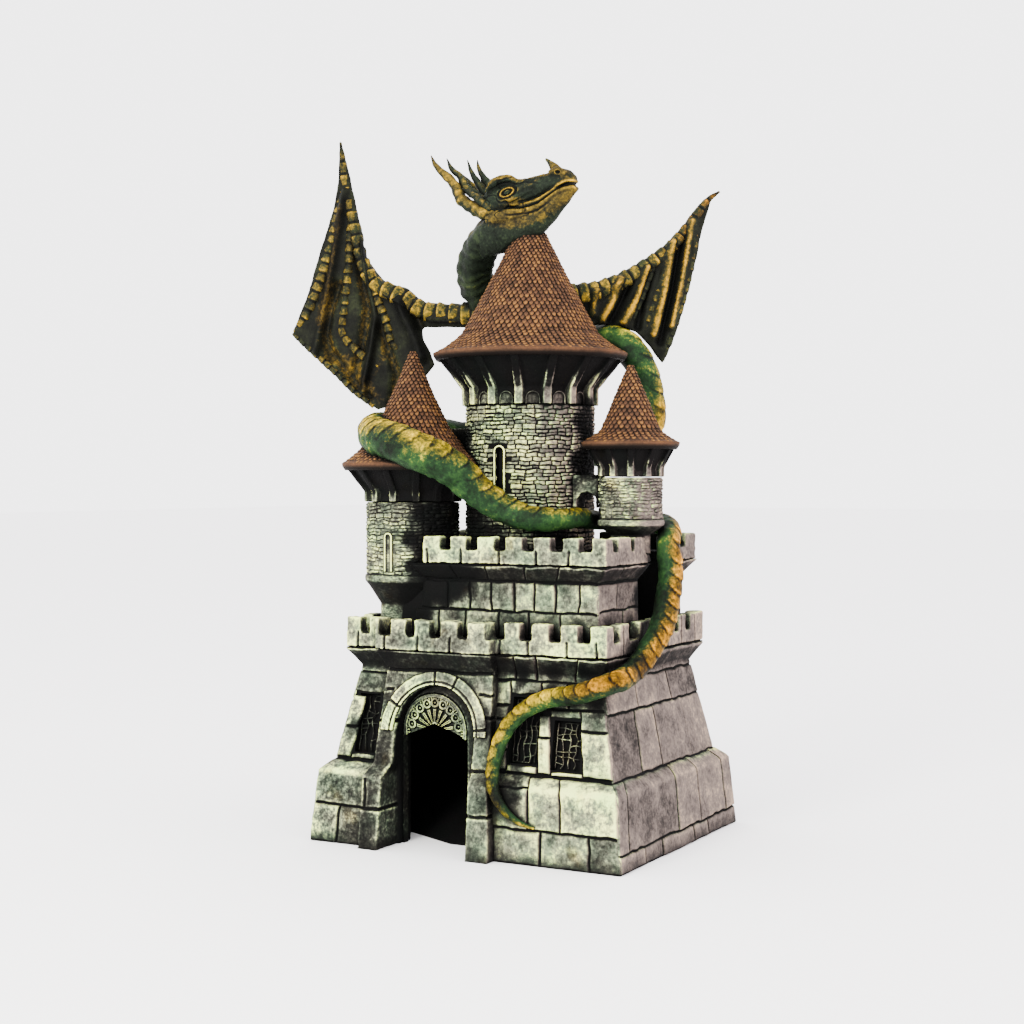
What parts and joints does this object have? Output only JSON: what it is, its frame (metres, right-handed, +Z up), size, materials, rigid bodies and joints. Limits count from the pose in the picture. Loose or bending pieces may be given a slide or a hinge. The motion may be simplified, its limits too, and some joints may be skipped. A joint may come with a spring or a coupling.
{
  "type": "dice tower",
  "caption": "Castle-shaped resin dice tower: dice enter the main tower at the back, tumble over fixed shelves and roll out of the arched gate; a dragon coils round it.",
  "frame": {"origin": "on the table, under the middle of the whole object's bounding box", "axes": "+X to the right along the gate front, +Y towards the back, +Z up; the gate faces -Y"},
  "size_m": [0.2094, 0.1408, 0.3341],
  "materials": {
    "stone": "matt painted resin, pale dry-brush over a near-black wash",
    "stone_dark": "matt painted resin, mostly dark wash",
    "roof": "satin painted resin, red-brown with gold dry-brush",
    "dragon": "satin painted resin, deep green with gold and orange dry-brush",
    "wing": "satin painted resin, dark green with gold ribs and bronze membrane"
  },
  "bodies": {
    "root": {"dragon_head": "dragon", "dragon_left_leg": "dragon", "dragon_left_wing": "wing", "dragon_neck": "dragon", "dragon_right_leg": "dragon", "dragon_right_wing": "wing", "dragon_torso": "dragon", "exit_ramp": "stone_dark", "gate_frame": "stone_dark", "gate_hood": "stone", "gate_tympanum": "stone", "gatehouse": "stone", "keep_shell": "stone", "left_bridge": "stone", "left_turret_corbels": "stone", "left_turret_drum": "stone", "left_turret_roof": "roof", "lower_deck": "stone", "lower_parapet": "stone", "main_corbels": "stone", "main_drum": "stone", "main_roof": "roof", "middle_baffle": "stone_dark", "right_bridge": "stone", "right_turret_corbels": "stone", "right_turret_drum": "stone", "right_turret_roof": "roof", "slit_grille_left": "stone_dark", "tail_back": "dragon", "tail_front": "dragon", "tail_root": "dragon", "tail_side": "dragon", "upper_baffle": "stone_dark", "upper_deck": "stone", "upper_keep": "stone", "upper_parapet_back": "stone", "upper_parapet_front": "stone", "window_grille_inner": "stone_dark", "window_grille_outer": "stone_dark"}
  },
  "joints": []
}
